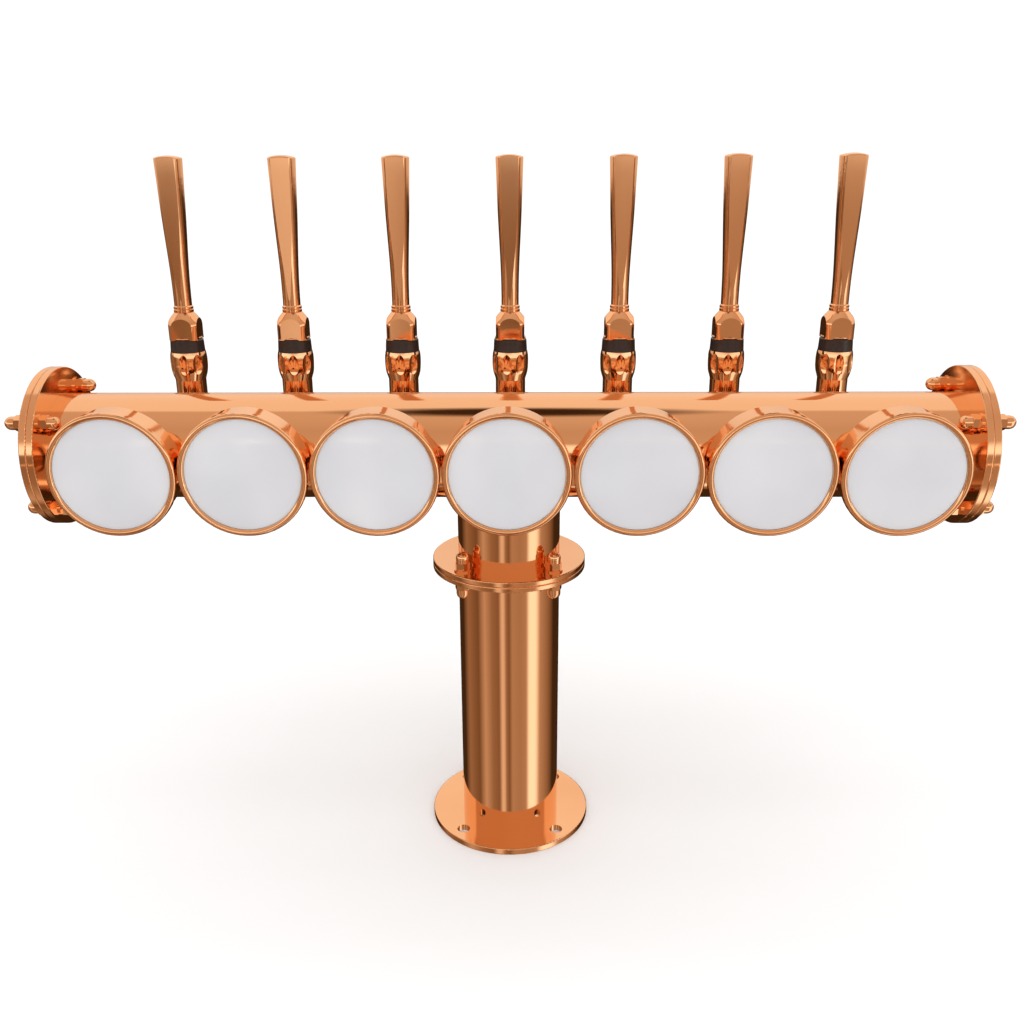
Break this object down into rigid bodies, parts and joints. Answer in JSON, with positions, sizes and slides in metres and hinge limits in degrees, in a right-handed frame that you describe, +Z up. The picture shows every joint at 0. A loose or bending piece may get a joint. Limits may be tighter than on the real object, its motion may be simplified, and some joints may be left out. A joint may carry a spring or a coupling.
{
  "type": "beer tap tower",
  "caption": "T-shaped draft beer tower: a flanged column carries a horizontal tube with upright paddle taps behind and round illuminated medallions in front.",
  "frame": {"origin": "centre of the base flange's underside, on the counter", "axes": "+X along the horizontal arm, -Y towards the drinkers (medallions), +Y towards the bartender (taps), +Z up"},
  "size_m": [0.6914, 0.2042, 0.51],
  "materials": {
    "plated_steel": "mirror polished, rose copper plated",
    "plated_brass": "mirror polished, rose copper plated",
    "stainless": "polished stainless steel",
    "dome_plastic": "dark brown acetal",
    "opal_lens": "opal white",
    "gasket_rubber": "matte",
    "board": "white solder mask",
    "beer_line": "natural tubing",
    "guide_plastic": "matte",
    "cable": "matte"
  },
  "bodies": {
    "tower": {"acorn_nuts": "plated_brass", "arm_tube": "plated_steel", "base_flange": "plated_steel", "beer_lines": "beer_line", "bonnets": "plated_brass", "column_top_flange": "plated_steel", "column_tube": "plated_steel", "end_cover_left": "plated_steel", "end_cover_right": "plated_steel", "end_flange_left": "plated_steel", "end_flange_right": "plated_steel", "ferrule_nuts": "plated_brass", "flange_gaskets": "gasket_rubber", "flange_studs": "stainless", "led_boards": "board", "led_harness": "cable", "line_guide": "guide_plastic", "medallion_bezels": "plated_steel", "medallion_bolts": "stainless", "medallion_cups": "plated_steel", "medallion_lenses": "opal_lens", "medallion_nuts": "stainless", "neck_flange": "plated_steel", "neck_tube": "plated_steel", "pivot_domes": "dome_plastic", "pivot_pins": "stainless", "saddle_spacers": "plated_brass", "shank_locknuts": "stainless", "stud_washers": "plated_brass", "tap_bodies": "plated_brass", "tap_shanks": "plated_brass", "tap_spouts": "plated_brass", "union_nuts": "plated_brass"},
    "tap_lever_1": {"lever_1": "plated_brass", "handle_1": "plated_brass"},
    "tap_stem_1": {"valve_stem_1": "stainless"},
    "tap_lever_2": {"lever_2": "plated_brass", "handle_2": "plated_brass"},
    "tap_stem_2": {"valve_stem_2": "stainless"},
    "tap_lever_3": {"lever_3": "plated_brass", "handle_3": "plated_brass"},
    "tap_stem_3": {"valve_stem_3": "stainless"},
    "tap_lever_4": {"lever_4": "plated_brass", "handle_4": "plated_brass"},
    "tap_stem_4": {"valve_stem_4": "stainless"},
    "tap_lever_5": {"lever_5": "plated_brass", "handle_5": "plated_brass"},
    "tap_stem_5": {"valve_stem_5": "stainless"},
    "tap_lever_6": {"lever_6": "plated_brass", "handle_6": "plated_brass"},
    "tap_stem_6": {"valve_stem_6": "stainless"},
    "tap_lever_7": {"lever_7": "plated_brass", "handle_7": "plated_brass"},
    "tap_stem_7": {"valve_stem_7": "stainless"}
  },
  "joints": [
    {"name": "pull_1", "type": "hinge", "parent": "tower", "child": "tap_lever_1", "pos_m": [-0.2667, 0.12, 0.3576], "axis": [-1, 0, 0], "range_deg": [-8, 28]},
    {"name": "valve_1", "type": "slide", "parent": "tower", "child": "tap_stem_1", "axis": [0, 0, 1], "range_m": [-0.00072, 0.00246]},
    {"name": "pull_2", "type": "hinge", "parent": "tower", "child": "tap_lever_2", "pos_m": [-0.1778, 0.12, 0.3576], "axis": [-1, 0, 0], "range_deg": [-8, 28]},
    {"name": "valve_2", "type": "slide", "parent": "tower", "child": "tap_stem_2", "axis": [0, 0, 1], "range_m": [-0.00072, 0.00246]},
    {"name": "pull_3", "type": "hinge", "parent": "tower", "child": "tap_lever_3", "pos_m": [-0.0889, 0.12, 0.3576], "axis": [-1, 0, 0], "range_deg": [-8, 28]},
    {"name": "valve_3", "type": "slide", "parent": "tower", "child": "tap_stem_3", "axis": [0, 0, 1], "range_m": [-0.00072, 0.00246]},
    {"name": "pull_4", "type": "hinge", "parent": "tower", "child": "tap_lever_4", "pos_m": [0, 0.12, 0.3576], "axis": [-1, 0, 0], "range_deg": [-8, 28]},
    {"name": "valve_4", "type": "slide", "parent": "tower", "child": "tap_stem_4", "axis": [0, 0, 1], "range_m": [-0.00072, 0.00246]},
    {"name": "pull_5", "type": "hinge", "parent": "tower", "child": "tap_lever_5", "pos_m": [0.0889, 0.12, 0.3576], "axis": [-1, 0, 0], "range_deg": [-8, 28]},
    {"name": "valve_5", "type": "slide", "parent": "tower", "child": "tap_stem_5", "axis": [0, 0, 1], "range_m": [-0.00072, 0.00246]},
    {"name": "pull_6", "type": "hinge", "parent": "tower", "child": "tap_lever_6", "pos_m": [0.1778, 0.12, 0.3576], "axis": [-1, 0, 0], "range_deg": [-8, 28]},
    {"name": "valve_6", "type": "slide", "parent": "tower", "child": "tap_stem_6", "axis": [0, 0, 1], "range_m": [-0.00072, 0.00246]},
    {"name": "pull_7", "type": "hinge", "parent": "tower", "child": "tap_lever_7", "pos_m": [0.2667, 0.12, 0.3576], "axis": [-1, 0, 0], "range_deg": [-8, 28]},
    {"name": "valve_7", "type": "slide", "parent": "tower", "child": "tap_stem_7", "axis": [0, 0, 1], "range_m": [-0.00072, 0.00246]}
  ],
  "couplings": [
    {"joint": "valve_1", "follows": "pull_1", "m_per_rad": 0.005},
    {"joint": "valve_2", "follows": "pull_2", "m_per_rad": 0.005},
    {"joint": "valve_3", "follows": "pull_3", "m_per_rad": 0.005},
    {"joint": "valve_4", "follows": "pull_4", "m_per_rad": 0.005},
    {"joint": "valve_5", "follows": "pull_5", "m_per_rad": 0.005},
    {"joint": "valve_6", "follows": "pull_6", "m_per_rad": 0.005},
    {"joint": "valve_7", "follows": "pull_7", "m_per_rad": 0.005}
  ]
}
